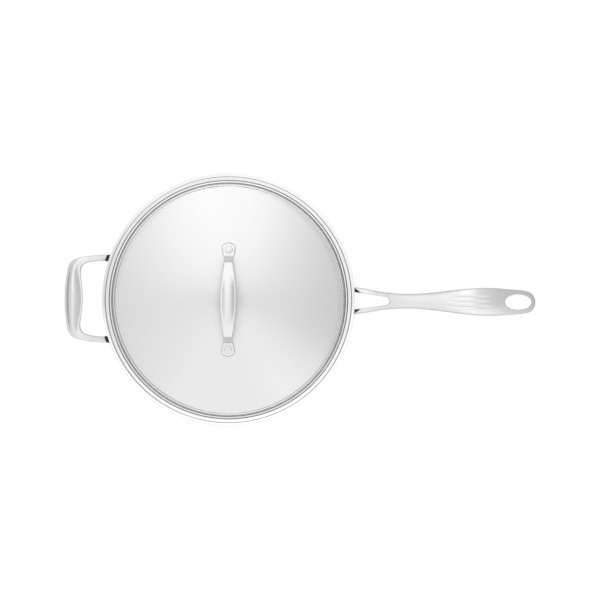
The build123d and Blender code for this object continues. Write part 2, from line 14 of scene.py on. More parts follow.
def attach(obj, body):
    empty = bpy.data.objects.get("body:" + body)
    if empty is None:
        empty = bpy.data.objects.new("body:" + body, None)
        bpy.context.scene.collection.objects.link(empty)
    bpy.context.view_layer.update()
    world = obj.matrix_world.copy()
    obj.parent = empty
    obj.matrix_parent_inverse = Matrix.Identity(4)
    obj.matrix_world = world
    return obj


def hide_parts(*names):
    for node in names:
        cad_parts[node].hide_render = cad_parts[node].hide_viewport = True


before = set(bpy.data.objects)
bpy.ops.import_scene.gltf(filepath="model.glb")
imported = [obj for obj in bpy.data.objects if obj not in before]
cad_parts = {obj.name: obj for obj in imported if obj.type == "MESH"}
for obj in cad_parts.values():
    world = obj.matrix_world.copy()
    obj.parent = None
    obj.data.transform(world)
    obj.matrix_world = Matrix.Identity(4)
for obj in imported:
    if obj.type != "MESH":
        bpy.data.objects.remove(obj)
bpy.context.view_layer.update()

MM = 0.001

Point = tuple[float, float]
Section = tuple[list[Vector], list[Vector]]
log = logging.getLogger("saute_pan")


class Grain(Enum):
    """Which way the fine scratches of a metal face run."""

    ROUND = "round"
    EVEN = "even"


def mirrored(values: list[float]) -> list[float]:
    """Half a row of columns, given from the middle outwards, as a whole row from - to +."""
    return [-value for value in reversed(values[1:])] + list(values)


def doubled(values: list[float]) -> list[float]:
    """Half a row of heights, given from the middle outwards, as a whole row."""
    return list(reversed(values[1:])) + list(values)


class Course:
    """A value that changes smoothly along a piece, through the places given."""

    def __init__(self, *stops: Point) -> None:
        """Keep the stops in order of place.

        Args:
            stops: Pairs of a place and the value there, both in millimetres.
        """
        self.places = [place for place, _ in sorted(stops)]
        self.values = [value for _, value in sorted(stops)]
        steps = list(zip(self.places, self.places[1:], self.values, self.values[1:]))
        slopes = [(high - low) / (end - start) for start, end, low, high in steps]
        self.slopes = [slopes[0]] + [self._shared(a, b) for a, b in zip(slopes, slopes[1:])] + [slopes[-1]]

    @staticmethod
    def _shared(before: float, after: float) -> float:
        """The slope at a stop between two stretches, level where the value turns back."""
        return 0.0 if before * after <= 0 else 2 * before * after / (before + after)

    def at(self, place: float) -> float:
        """The value at a place.

        Args:
            place: Where along the piece, held to the first and last stop.

        Returns:
            The value there, on a cubic through the stops that never overshoots.
        """
        place = min(max(place, self.places[0]), self.places[-1])
        index = max(i for i, start in enumerate(self.places[:-1]) if start <= place)
        span = self.places[index + 1] - self.places[index]
        share = (place - self.places[index]) / span
        back = 1 - share
        return (
            self.values[index] * (1 + 2 * share) * back * back
            + self.values[index + 1] * (3 - 2 * share) * share * share
            + self.slopes[index] * span * share * back * back
            - self.slopes[index + 1] * span * share * share * back
        )


def start_piece() -> None:
    """Leave edit mode and deselect everything, so that operators touch only new work."""
    if bpy.context.object and bpy.context.object.mode != "OBJECT":
        bpy.ops.object.mode_set(mode="OBJECT")
    bpy.ops.object.select_all(action="DESELECT")


def apply_modifier(piece: bpy.types.Object, kind: str, **settings: object) -> None:
    """Add a modifier to the active piece, set it and apply it.

    Args:
        piece: The piece, which is active and in object mode.
        kind: Blender's name of the modifier.
        settings: Values of the modifier's own settings.
    """
    bpy.ops.object.modifier_add(type=kind)
    modifier = piece.modifiers[-1]
    for name, value in settings.items():
        setattr(modifier, name, value)
    bpy.ops.object.modifier_apply(modifier=modifier.name)


def rounded(points: list[Point], radii: list[float], steps: int = 5, ease: float = 0.25) -> list[Point]:
    """Round the corners of a section drawn as straight runs.

    Args:
        points: Corners of the section, each a radius and a height.
        radii: A radius for each corner but the first and the last, zero for a sharp one.
        steps: Straight runs in each rounded corner.
        ease: Distance of an extra point before and after each bend, which keeps flats flat.

    Returns:
        The points of the rounded section, in the same order.
    """
    result = [points[0]]
    for before, corner, after, radius in zip(points, points[1:], points[2:], radii):
        if radius == 0:
            result.append(corner)
            continue
        middle = Vector(corner)
        back = (Vector(before) - middle).normalized()
        on = (Vector(after) - middle).normalized()
        half_turn = back.angle(on) / 2
        reach = radius / math.tan(half_turn)
        centre = middle + (back + on).normalized() * (radius / math.sin(half_turn))
        start, end = middle + back * reach - centre, middle + on * reach - centre
        turn = start.angle_signed(end)
        result.append(tuple(middle + back * (reach + ease)))
        for step in range(steps + 1):
            spoke = start.copy()
            angle = -turn * step / steps
            spoke.rotate(Matrix.Rotation(angle, 2))
            result.append(tuple(centre + spoke))
        result.append(tuple(middle + on * (reach + ease)))
    return result + [points[-1]]


@dataclass(frozen=True)
class Turning:
    """A piece that is round about the Z axis, drawn out ring by ring from its section."""

    name: str
    section: list[Point]
    wall: float = 0.0
    edge_round: float = 0.0
    rings: int = 256
    smooth_below: float = 35.0

    def make(self) -> bpy.types.Object:
        """Build the piece.

        Returns:
            The finished object, an open section given its wall, or a closed solid.
        """
        start_piece()
        radius, height = self.section[0]
        bpy.ops.mesh.primitive_circle_add(vertices=self.rings, radius=radius * MM, fill_type="NGON")
        piece = bpy.context.object
        piece.name = self.name
        bpy.ops.object.mode_set(mode="EDIT")
        bpy.ops.mesh.select_all(action="SELECT")
        bpy.ops.transform.translate(value=(0, 0, height * MM))
        for next_radius, next_height in self.section[1:]:
            bpy.ops.mesh.extrude_edges_move(
                TRANSFORM_OT_translate={"value": (0, 0, (next_height - height) * MM)}
            )
            grow = next_radius / radius
            bpy.ops.transform.resize(value=(grow, grow, 1))
            radius, height = next_radius, next_height
        if not self.wall:
            bpy.ops.mesh.edge_face_add()
        bpy.ops.mesh.select_all(action="SELECT")
        bpy.ops.mesh.normals_make_consistent(inside=False)
        mesh = bmesh.from_edit_mesh(piece.data)
        mesh.normal_update()
        crown = min(mesh.faces, key=lambda face: face.calc_center_median().xy.length)
        if self.wall and crown.normal.z < 0:
            bpy.ops.mesh.flip_normals()
        bpy.ops.object.mode_set(mode="OBJECT")
        if self.wall:
            apply_modifier(piece, "SOLIDIFY", thickness=self.wall * MM, offset=-1.0, use_even_offset=True)
        if self.edge_round:
            apply_modifier(
                piece,
                "BEVEL",
                width=self.edge_round * MM,
                segments=2,
                limit_method="ANGLE",
                angle_limit=math.radians(60),
            )
        bpy.ops.object.shade_smooth_by_angle(angle=math.radians(self.smooth_below))
        return piece


class Bar:
    """A closed bar drawn out section by section. Every section is a strip of columns."""

    def __init__(self, name: str, columns: int) -> None:
        """Start with a flat strip of faces, which becomes the bar's first section.

        Args:
            name: The piece's name.
            columns: Points across the strip, on its underside and on its top alike.
        """
        start_piece()
        strips = columns - 1
        bpy.ops.mesh.primitive_grid_add(x_subdivisions=strips, y_subdivisions=1, size=1)
        self.piece = bpy.context.object
        self.piece.name = name
        self.columns = columns
        self.row = 0
        bpy.ops.object.mode_set(mode="EDIT")
        bpy.ops.mesh.select_mode(type="FACE")
        mesh = self._mesh()
        mesh.verts.layers.int.new("place")
        mesh.verts.layers.int.new("row")
        place = mesh.verts.layers.int["place"]
        for point in mesh.verts:
            side = columns if point.co.y > 0 else 0
            point[place] = side + round((point.co.x + 0.5) * strips)
        bpy.ops.mesh.select_all(action="SELECT")

    def _mesh(self) -> bmesh.types.BMesh:
        """The piece's mesh in edit mode."""
        return bmesh.from_edit_mesh(self.piece.data)

    def _marks(self) -> tuple[bmesh.types.BMesh, object, object]:
        """The mesh, with the layers that hold each point's place and row."""
        mesh = self._mesh()
        return mesh, mesh.verts.layers.int["place"], mesh.verts.layers.int["row"]

    def _from_middle(self, place: int) -> int:
        """How many columns a point lies from the strip's middle."""
        return abs(place % self.columns - self.columns // 2)

    def _opening(self, rows: tuple[int, int], column: int) -> Callable[[Iterable], bool]:
        """A test, for a face's or an edge's points, of whether it lies in an opening or on its rim.

        Args:
            rows: The first and last row of the opening.
            column: The column, counted from the middle, at which it ends on both sides.

        Returns:
            The test.
        """
        _, place, row = self._marks()

        def inside(points: Iterable) -> bool:
            """Whether all the points lie there, on one side of the bar.

            Args:
                points: The points of a face or an edge.

            Returns:
                True if they do.
            """
            sides = {point[place] // self.columns for point in points}
            near = all(
                self._from_middle(point[place]) <= column and rows[0] <= point[row] <= rows[1]
                for point in points
            )
            return len(sides) == 1 and near

        return inside

    @staticmethod
    def _sharp(edge: bmesh.types.BMEdge, degrees: float) -> bool:
        """Whether the two faces at an edge turn by more than an angle."""
        return len(edge.link_faces) == 2 and edge.calc_face_angle(0.0) > math.radians(degrees)

    def _select_edges(self, wanted: Callable[[bmesh.types.BMEdge], bool]) -> None:
        """Select the edges that pass a test, and no others.

        Args:
            wanted: The test.
        """
        bpy.ops.mesh.select_mode(type="EDGE")
        bpy.ops.mesh.select_all(action="DESELECT")
        for edge in self._mesh().edges:
            edge.select_set(wanted(edge))
        bmesh.update_edit_mesh(self.piece.data)

    def _crease(self, wanted: Callable[[bmesh.types.BMEdge], bool], value: float) -> None:
        """Keep the edges that pass a test sharp when the bar is smoothed, wholly so at a value of 1.

        Args:
            wanted: The test.
            value: How sharp they stay, from 0 to 1.
        """
        self._select_edges(wanted)
        bpy.ops.transform.edge_crease(value=value)
        bpy.ops.mesh.select_mode(type="FACE")

    def put(self, low: list[Vector], high: list[Vector]) -> None:
        """Move the section that is selected to its place.

        Args:
            low: The underside's points, one for each column, in millimetres.
            high: The top's points.
        """
        mesh, place, row = self._marks()
        points = [*low, *high]
        for point in mesh.verts:
            if point.select:
                point.co = points[point[place]] * MM
                point[row] = self.row
        bmesh.update_edit_mesh(self.piece.data)

    def draw(self, low: list[Vector], high: list[Vector]) -> None:
        """Extrude the section that is selected to its next place.

        Args:
            low: The underside's points, one for each column, in millimetres.
            high: The top's points.
        """
        bpy.ops.mesh.extrude_region_move(TRANSFORM_OT_translate={"value": (0, 0, 0)})
        self.row += 1
        self.put(low, high)

    def keep_outside(self, column: int) -> None:
        """Deselect the section's middle strips, so that the bar goes on as two.

        Args:
            column: The column, counted from the middle, at which each part starts.
        """
        mesh, place, _ = self._marks()
        for face in mesh.faces:
            if face.select and all(self._from_middle(point[place]) <= column for point in face.verts):
                face.select_set(False)
        bmesh.update_edit_mesh(self.piece.data)

    def open_through(self, rows: tuple[int, int], column: int) -> None:
        """Cut an opening from top to underside and line it with a wall.

        Args:
            rows: The first and last row of the opening.
            column: The column, counted from the middle, at which it ends on both sides.
        """
        inside = self._opening(rows, column)
        bpy.ops.mesh.select_all(action="DESELECT")
        for face in self._mesh().faces:
            face.select_set(inside(face.verts))
        bmesh.update_edit_mesh(self.piece.data)
        bpy.ops.mesh.bridge_edge_loops()

    def soften(self, rows: tuple[int, int], column: int, width: float) -> None:
        """Round the edges along both rims of an opening.

        Args:
            rows: The first and last row of the opening.
            column: The column, counted from the middle, along which it runs.
            width: How far the rounding reaches, in millimetres.
        """
        inside = self._opening(rows, column)
        self._select_edges(lambda edge: inside(edge.verts) and self._sharp(edge, 50))
        bpy.ops.mesh.bevel(offset=width * MM, segments=2, affect="EDGES")
        bpy.ops.mesh.select_mode(type="FACE")

    def crease_section(self, row: int) -> None:
        """Keep the outline of one section sharp when the bar is smoothed.

        Args:
            row: The section's row.
        """
        _, _, rows = self._marks()
        self._crease(lambda edge: all(p[rows] == row for p in edge.verts) and self._sharp(edge, 40), 1.0)

    def crease_line(self, rows: tuple[int, int], column: int) -> None:
        """Keep a line along the bar's top rather sharp when the bar is smoothed.

        Args:
            rows: The first and last row of the line.
            column: The line's column, counted from the middle.
        """
        _, place, row = self._marks()
        line = self.columns + self.columns // 2 + column
        self._crease(
            lambda edge: all(p[place] == line and rows[0] <= p[row] <= rows[1] for p in edge.verts), 0.3
        )

    def finish(self, levels: int = 2) -> bpy.types.Object:
        """Point the faces outwards, smooth the bar and leave edit mode.

        Args:
            levels: How many times its faces are divided.

        Returns:
            The finished object.
        """
        bpy.ops.mesh.select_all(action="SELECT")
        bpy.ops.mesh.normals_make_consistent(inside=False)
        bpy.ops.object.mode_set(mode="OBJECT")
        apply_modifier(self.piece, "SUBSURF", levels=levels, render_levels=levels)
        bpy.ops.object.shade_smooth_by_angle(angle=math.radians(50))
        return self.piece


class Recipe:
    """A material under work: its shader, and what its patterns have in common."""

    BUMP_DISTANCE = 0.0002

    def __init__(self, name: str) -> None:
        """Start the material.

        Args:
            name: The material's name.
        """
        self.material = bpy.data.materials.new(name)
        self.material.use_nodes = True
        self.nodes, self.links = self.material.node_tree.nodes, self.material.node_tree.links
        self.shader = self.nodes["Principled BSDF"]
        self.place = self.nodes.new("ShaderNodeTexCoord").outputs["Object"]

    def noise(self, place: bpy.types.NodeSocket, scale: float, detail: float) -> bpy.types.Node:
        """Add a noise pattern, laid out by the coordinates given.

        Args:
            place: The coordinates.
            scale: How many times it repeats, per metre.
            detail: How many finer layers it has.

        Returns:
            The pattern's node.
        """
        pattern = self.nodes.new("ShaderNodeTexNoise")
        pattern.inputs["Scale"].default_value = scale
        pattern.inputs["Detail"].default_value = detail
        self.links.new(place, pattern.inputs["Vector"])
        return pattern

    def vary(self, target: str, pattern: bpy.types.NodeSocket, middle: float, share: float) -> None:
        """Let a pattern from 0 to 1 move one of the shader's values up and down by a share of it.

        Args:
            target: The shader's input.
            pattern: The pattern.
            middle: The value in the middle.
            share: How far it moves, as a share of that value.
        """
        node = self.nodes.new("ShaderNodeMapRange")
        node.inputs["To Min"].default_value = middle * (1 - share)
        node.inputs["To Max"].default_value = middle * (1 + share)
        self.links.new(pattern, node.inputs["Value"])
        self.links.new(node.outputs["Result"], self.shader.inputs[target])

    def emboss(self, pattern: bpy.types.NodeSocket, strength: float) -> None:
        """Let a pattern ripple the surface.

        Args:
            pattern: The pattern.
            strength: How strongly it shows, from 0 to 1.
        """
        bump = self.nodes.new("ShaderNodeBump")
        bump.inputs["Strength"].default_value = strength
        bump.inputs["Distance"].default_value = self.BUMP_DISTANCE
        self.links.new(pattern, bump.inputs["Height"])
        self.links.new(bump.outputs["Normal"], self.shader.inputs["Normal"])


@dataclass(frozen=True)
class Metal:
    """A bare metal finish with fine scratches."""

    name: str
    colour: float
    roughness: float
    grain: Grain = Grain.EVEN
    streak: float = 0.0
    turn: float = 0.0
    round_tangent: bool = False
    unevenness: float = 0.04
    depth: float = 0.04
    stain_scale: float = 14.0
    dull_share: float = 0.15

    def make(self) -> bpy.types.Material:
        """Build the material.

        Returns:
            The material, with its scratches and its faint stains in Object coordinates.
        """
        recipe = Recipe(self.name)
        inputs = recipe.shader.inputs
        inputs["Metallic"].default_value = 1.0
        inputs["Anisotropic"].default_value = self.streak
        inputs["Anisotropic Rotation"].default_value = self.turn
        if self.round_tangent:
            tangent = recipe.nodes.new("ShaderNodeTangent")
            tangent.direction_type = "RADIAL"
            tangent.axis = "Z"
            recipe.links.new(tangent.outputs["Tangent"], inputs["Tangent"])
        scratches = self._scratches(recipe)
        stains = recipe.noise(recipe.place, self.stain_scale, 4.0).outputs["Fac"]
        recipe.vary("Base Color", stains, self.colour, self.unevenness)
        recipe.vary("Roughness", scratches, self.roughness, self.dull_share)
        recipe.emboss(scratches, self.depth)
        return recipe.material

    def _scratches(self, recipe: Recipe) -> bpy.types.NodeSocket:
        """Draw the scratches.

        Args:
            recipe: The material under work.

        Returns:
            The socket that gives the pattern, from 0 to 1.
        """
        nodes, links, place = recipe.nodes, recipe.links, recipe.place
        if self.grain is Grain.ROUND:
            split = nodes.new("ShaderNodeSeparateXYZ")
            flat = nodes.new("ShaderNodeCombineXYZ")
            distance = nodes.new("ShaderNodeVectorMath")
            distance.operation = "LENGTH"
            join = nodes.new("ShaderNodeCombineXYZ")
            links.new(place, split.inputs[0])
            for axis in ("X", "Y"):
                links.new(split.outputs[axis], flat.inputs[axis])
                links.new(split.outputs[axis], join.inputs[axis])
            links.new(flat.outputs[0], distance.inputs[0])
            links.new(distance.outputs["Value"], join.inputs["Z"])
            place = join.outputs[0]
        scales = {Grain.ROUND: (6.0, 6.0, 2600.0), Grain.EVEN: (500.0, 500.0, 500.0)}
        stretch = nodes.new("ShaderNodeMapping")
        stretch.inputs["Scale"].default_value = scales[self.grain]
        links.new(place, stretch.inputs["Vector"])
        pattern = recipe.noise(stretch.outputs["Vector"], 1.0, 6.0)
        pattern.inputs["Roughness"].default_value = 0.65
        return pattern.outputs["Fac"]


@dataclass(frozen=True)
class Plastic:
    """A black moulded plastic with a fine grain."""

    name: str
    colour: float
    roughness: float
    unevenness: float = 0.2
    depth: float = 0.1
    grain_scale: float = 1500.0

    def make(self) -> bpy.types.Material:
        """Build the material.

        Returns:
            The material, grained in Object coordinates.
        """
        recipe = Recipe(self.name)
        grain = recipe.noise(recipe.place, self.grain_scale, 3.0).outputs["Fac"]
        recipe.vary("Base Color", grain, self.colour, self.unevenness)
        recipe.shader.inputs["Roughness"].default_value = self.roughness
        recipe.emboss(grain, self.depth)
        return recipe.material


@dataclass(frozen=True)
class Lamp:
    """A soft rectangular lamp, with its size and place in metres."""

    name: str
    size: Point
    radiance: float
    at: tuple[float, float, float]
    aim: tuple[float, float, float] = (0.0, 0.0, -1.0)

    def hang(self) -> None:
        """Hang the lamp, with the power that makes its face as bright as its radiance says."""
        data = bpy.data.lights.new(self.name, "AREA")
        data.shape = "RECTANGLE"
        data.size, data.size_y = self.size
        data.energy = math.pi * self.size[0] * self.size[1] * self.radiance
        lamp = bpy.data.objects.new(self.name, data)
        bpy.context.scene.collection.objects.link(lamp)
        lamp.location = self.at
        lamp.rotation_euler = Vector(self.aim).to_track_quat("-Z", "Y").to_euler()


@dataclass(frozen=True)
class Studio:
    """The floor, the light and the camera."""

    distance: float = 8.0
    millimetres_a_pixel: float = 1.1462
    picture: float = 600.0
    axis_across: float = 228.5
    axis_down: float = 299.7
    roll: float = 0.48
    rim_height: float = 71.0
    sensor: float = 36.0
    floor_below: float = 0.2
    floor_size: float = 40.0
    floor_grey: float = 0.8
    floor_seen_grey: float = 0.25
    floor_glow: float = 0.84
    sky: tuple[Point, ...] = ((0.0, 0.12), (0.2, 0.22), (0.45, 0.48), (0.75, 0.62), (1.0, 0.70))
    left_light: float = 0.46
    front_light: float = 0.5
    end_light: float = 0.2
    lamps: tuple[Lamp, ...] = (
        Lamp("overhead", size=(0.5, 1.8), radiance=0.3, at=(-0.03, 0.25, 0.76)),
        Lamp("overhead_far", size=(0.5, 1.13), radiance=0.35, at=(-0.03, 0.59, 0.77)),
        Lamp("glint", size=(0.26, 0.26), radiance=0.45, at=(0.28, -0.31, 0.78), aim=(-0.28, 0.31, -0.78)),
    )

    def build(self) -> None:
        """Make the floor, the light and the camera."""
        self._floor()
        self._world()
        for lamp in self.lamps:
            lamp.hang()
        self._camera()
        bpy.context.scene.view_settings.view_transform = "Standard"

    def _camera(self) -> None:
        """Hang the camera straight above, turned a little as the photograph is."""
        data = bpy.data.cameras.new("camera")
        camera = bpy.data.objects.new("camera", data)
        bpy.context.scene.collection.objects.link(camera)
        width = self.picture * self.millimetres_a_pixel
        data.sensor_width = self.sensor
        data.lens = self.sensor * self.distance / (width * MM)
        data.clip_end = 100.0
        turn = math.radians(self.roll)
        across = (self.axis_across - self.picture / 2) * self.millimetres_a_pixel
        up = (self.picture / 2 - self.axis_down) * self.millimetres_a_pixel
        camera.location = (
            -(across * math.cos(turn) - up * math.sin(turn)) * MM,
            -(across * math.sin(turn) + up * math.cos(turn)) * MM,
            self.rim_height * MM + self.distance,
        )
        camera.rotation_euler = (0, 0, turn)
        bpy.context.scene.camera = camera

    def _floor(self) -> None:
        """Lay a white floor that keeps a soft shadow."""
        start_piece()
        bpy.ops.mesh.primitive_plane_add(size=self.floor_size, location=(0, 0, -self.floor_below * MM))
        floor = bpy.context.object
        floor.name = "floor"
        material = bpy.data.materials.new("floor_white")
        material.use_nodes = True
        nodes, links = material.node_tree.nodes, material.node_tree.links
        nodes.clear()
        output = nodes.new("ShaderNodeOutputMaterial")
        matt = nodes.new("ShaderNodeBsdfDiffuse")
        matt.inputs["Color"].default_value = (*[self.floor_grey] * 3, 1)
        faint = nodes.new("ShaderNodeBsdfDiffuse")
        faint.inputs["Color"].default_value = (*[self.floor_seen_grey] * 3, 1)
        glow = nodes.new("ShaderNodeEmission")
        glow.inputs["Strength"].default_value = self.floor_glow
        bright = nodes.new("ShaderNodeAddShader")
        links.new(faint.outputs[0], bright.inputs[0])
        links.new(glow.outputs[0], bright.inputs[1])
        mix = nodes.new("ShaderNodeMixShader")
        links.new(self._seen(material), mix.inputs[0])
        links.new(matt.outputs[0], mix.inputs[1])
        links.new(bright.outputs[0], mix.inputs[2])
        links.new(mix.outputs[0], output.inputs["Surface"])
        floor.data.materials.append(material)

    @staticmethod
    def _seen(material: bpy.types.Material) -> bpy.types.NodeSocket:
        """A socket that is 1 for rays from the camera and from gloss and glass.

        Args:
            material: The material that it is for.

        Returns:
            The socket.
        """
        nodes, links = material.node_tree.nodes, material.node_tree.links
        path = nodes.new("ShaderNodeLightPath")
        either = nodes.new("ShaderNodeMath")
        either.operation = "ADD"
        links.new(path.outputs["Is Camera Ray"], either.inputs[0])
        links.new(path.outputs["Is Glossy Ray"], either.inputs[1])
        any_of = nodes.new("ShaderNodeMath")
        any_of.operation = "ADD"
        any_of.use_clamp = True
        links.new(either.outputs[0], any_of.inputs[0])
        links.new(path.outputs["Is Transmission Ray"], any_of.inputs[1])
        return any_of.outputs[0]

    def _world(self) -> None:
        """Light the scene from all round, brightest overhead, with more from -X, from -Y and along Y."""
        world = bpy.data.worlds.new("studio")
        bpy.context.scene.world = world
        world.use_nodes = True
        nodes, links = world.node_tree.nodes, world.node_tree.links
        background = nodes["Background"]
        split = nodes.new("ShaderNodeSeparateXYZ")
        links.new(nodes.new("ShaderNodeTexCoord").outputs["Generated"], split.inputs[0])
        across, along, up = split.outputs

        def combine(operation: str, first: object, second: object) -> bpy.types.NodeSocket:
            """A sum, product or other result of two values or sockets.

            Args:
                operation: The operation's name.
                first: The first value or socket.
                second: The second.

            Returns:
                The result's socket.
            """
            node = nodes.new("ShaderNodeMath")
            node.operation = operation
            for socket, value in zip(node.inputs, (first, second)):
                if isinstance(value, float):
                    socket.default_value = value
                else:
                    links.new(value, socket)
            return node.outputs[0]

        ramp = nodes.new("ShaderNodeValToRGB")
        elements = ramp.color_ramp.elements
        while len(elements) < len(self.sky):
            elements.new(0.5)
        for element, (position, level) in zip(elements, self.sky):
            element.position = position
            element.color = (level, level, level, 1)
        links.new(up, ramp.inputs["Fac"])
        left = combine("MAXIMUM", combine("MULTIPLY", across, -1.0), 0.0)
        front = combine("MAXIMUM", combine("MULTIPLY", along, -1.0), 0.0)
        above = combine("MAXIMUM", up, 0.0)
        left = combine("MULTIPLY", left, self.left_light)
        front = combine("MULTIPLY", front, self.front_light)
        sides = combine("ADD", left, front)
        ends = combine("MULTIPLY", combine("MULTIPLY", along, along), self.end_light)
        level = combine("ADD", ramp.outputs["Color"], combine("MULTIPLY", sides, above))
        level = combine("ADD", level, ends)
        links.new(level, background.inputs["Color"])


@dataclass(frozen=True)
class Bowl:
    """The pan's bowl, pressed from sheet."""

    inner_radius: float = 139.0
    floor_top: float = 7.0
    corner_radius: float = 15.0
    wall: float = 1.0
    lip_radius: float = 4.2
    lip_tilt: float = math.radians(12.5)
    rim_radius: float = 145.0
    rim_top: float = 71.0
    lip_steps: int = 10
    lip_flat: float = 0.5

    def build(self) -> bpy.types.Object:
        """Turn the bowl from its inner line.

        Returns:
            The bowl, with its wall outside that line.
        """
        centre = self.inner_radius + self.lip_radius
        flare_end = centre - self.lip_radius * math.sin(self.lip_tilt)
        rim = self.rim_radius - self.wall * math.sin(self.lip_tilt)
        lip_rise = (rim - flare_end) * math.tan(self.lip_tilt)
        flare_start = self.rim_top - lip_rise - self.lip_radius * math.cos(self.lip_tilt)
        section = rounded(
            [(2.0, self.floor_top), (self.inner_radius, self.floor_top), (self.inner_radius, flare_start)],
            [self.corner_radius],
            steps=10,
            ease=2.0,
        )
        for step in range(1, self.lip_steps + 1):
            angle = (math.pi / 2 - self.lip_tilt) * step / self.lip_steps
            section.append(
                (centre - self.lip_radius * math.cos(angle), flare_start + self.lip_radius * math.sin(angle))
            )
        section.append((rim - self.lip_flat, self.rim_top - self.lip_flat * math.tan(self.lip_tilt)))
        section.append((rim, self.rim_top))
        return Turning("bowl", section, wall=self.wall, edge_round=0.3).make()


@dataclass(frozen=True)
class Lid:
    """The stepped lid, pressed from sheet."""

    edge_radius: float = 140.75
    skirt_radius: float = 136.8
    groove_outer_radius: float = 136.7
    groove_inner_radius: float = 134.1
    bead_outer_radius: float = 132.2
    bead_inner_radius: float = 130.95
    crease_radius: float = 129.7
    dome_end_radius: float = 127.2
    dome_edge_radius: float = 129.6
    flange_top: float = 70.925
    flange_drop: float = 0.55
    groove_floor: float = 65.725
    bead_top: float = 75.525
    crease_height: float = 74.55
    dome_edge_height: float = 74.825
    dome_rise: float = 8.5
    wall: float = 0.8
    edge_strip: float = 0.35
    edge_round: float = 0.34  # stays under edge_strip, or the rounding folds faces flat
    groove_round: float = 1.0
    bead_round: float = 0.86  # stays over the wall, or the bend's underside folds flat
    skirt_round: float = 0.86  # the same
    dome_steps: int = 40

    @property
    def dome_radius(self) -> float:
        """Radius of the sphere that the dome is cut from."""
        return (self.dome_edge_radius**2 + self.dome_rise**2) / (2 * self.dome_rise)

    def height(self, distance: float) -> float:
        """Height of the dome's top at a distance from the axis."""
        radius = self.dome_radius
        return self.dome_edge_height + self.dome_rise - radius + math.sqrt(radius**2 - distance**2)

    def build(self) -> bpy.types.Object:
        """Turn the lid from its upper line.

        Returns:
            The lid, with its wall below that line.
        """
        span = self.dome_end_radius - self.wall
        distances = [self.wall + span * step / self.dome_steps for step in range(self.dome_steps + 1)]
        dome = [(distance, self.height(distance)) for distance in distances]
        border = rounded(
            [
                dome[-1],
                (self.crease_radius, self.crease_height),
                (self.bead_inner_radius, self.bead_top),
                (self.bead_outer_radius, self.bead_top),
                (self.groove_inner_radius, self.groove_floor),
                (self.groove_outer_radius, self.groove_floor),
                (self.skirt_radius, self.flange_top - self.flange_drop),
                (self.edge_radius, self.flange_top),
            ],
            [self.bead_round] * 3 + [self.groove_round] * 2 + [self.skirt_round],
            ease=0.1,
        )
        slope = self.flange_drop / (self.edge_radius - self.skirt_radius)
        border.insert(-1, (self.edge_radius - self.edge_strip, self.flange_top - slope * self.edge_strip))
        return Turning("lid_sheet", dome[:-1] + border, wall=self.wall, edge_round=self.edge_round).make()

    def paint(self, sheet: bpy.types.Object, dome: bpy.types.Material, groove: bpy.types.Material) -> None:
        """Give the top of the dome its own material, and the band round it a darker one that paints shade
        into the groove.

        Args:
            sheet: The lid, with its main material.
            dome: The material of the top inside the crease.
            groove: The darker material from the bead's outer side to the foot of the groove's inner wall,
                painted shade in the groove.
        """
        sheet.data.materials.append(dome)
        sheet.data.materials.append(groove)
        band = self.bead_outer_radius + self.wall / 2, self.groove_inner_radius + self.wall / 2
        for face in sheet.data.polygons:
            distance = Vector(face.center).xy.length / MM
            if distance < self.crease_radius and face.normal.z > 0:
                face.material_index = 1
            # The groove band gets the darker metal: painted shade in the groove, not a finish of its own.
            elif band[0] < distance < band[1]:
                face.material_index = 2


@dataclass(frozen=True)
class RivetHead:
    """A rivet of the lid's handle, with its domed head and its tail under the lid."""

    spacing: float = 114.8
    head_radius: float = 4.45
    head_height: float = 1.5
    head_crown: float = 0.45
    head_edge: float = 0.3
    shank_radius: float = 2.5
    tail_radius: float = 3.7
    tail_height: float = 1.1
    foot: float = 2.65
    hold: float = 4.6
    start_radius: float = 0.5
    crown_steps: int = 6
    tail_straight_share: float = 0.7
    tail_bevel: float = 0.4

    def build(self, lid: Lid) -> bpy.types.Object:
        """Turn one rivet, then set a copy on each foot.

        Args:
            lid: The lid, for its height and slope under the feet.

        Returns:
            Both rivets, joined.
        """
        crown_radius = (self.head_radius**2 + self.head_crown**2) / (2 * self.head_crown)
        flat = self.head_radius - self.head_edge
        crown = []
        for step in range(self.crown_steps + 1):
            distance = self.start_radius + (flat - self.start_radius) * step / self.crown_steps
            fall = crown_radius - math.sqrt(crown_radius**2 - distance**2)
            crown.append((distance, self.head_height - fall))
        section = crown + [
            (self.head_radius, self.head_height - self.head_crown - self.head_edge),
            (self.head_radius, 0.0),
            (self.shank_radius, 0.0),
            (self.shank_radius, -self.hold),
            (self.tail_radius, -self.hold),
            (self.tail_radius, -self.hold - self.tail_height * self.tail_straight_share),
            (self.tail_radius - self.tail_bevel, -self.hold - self.tail_height),
            (self.start_radius, -self.hold - self.tail_height),
        ]
        first = Turning("lid_rivet_heads", section, rings=48).make()
        lean = math.asin(self.spacing / 2 / lid.dome_radius)
        bpy.ops.object.mode_set(mode="EDIT")
        bpy.ops.mesh.select_all(action="SELECT")
        bpy.ops.mesh.duplicate()
        for side in (1, -1):
            height = lid.height(self.spacing / 2) + self.foot
            bpy.ops.transform.rotate(value=side * lean, orient_axis="X", center_override=(0, 0, 0))
            bpy.ops.transform.translate(value=(0, side * self.spacing / 2 * MM, height * MM))
            bpy.ops.mesh.select_all(action="INVERT")
        bpy.ops.object.mode_set(mode="OBJECT")
        return first


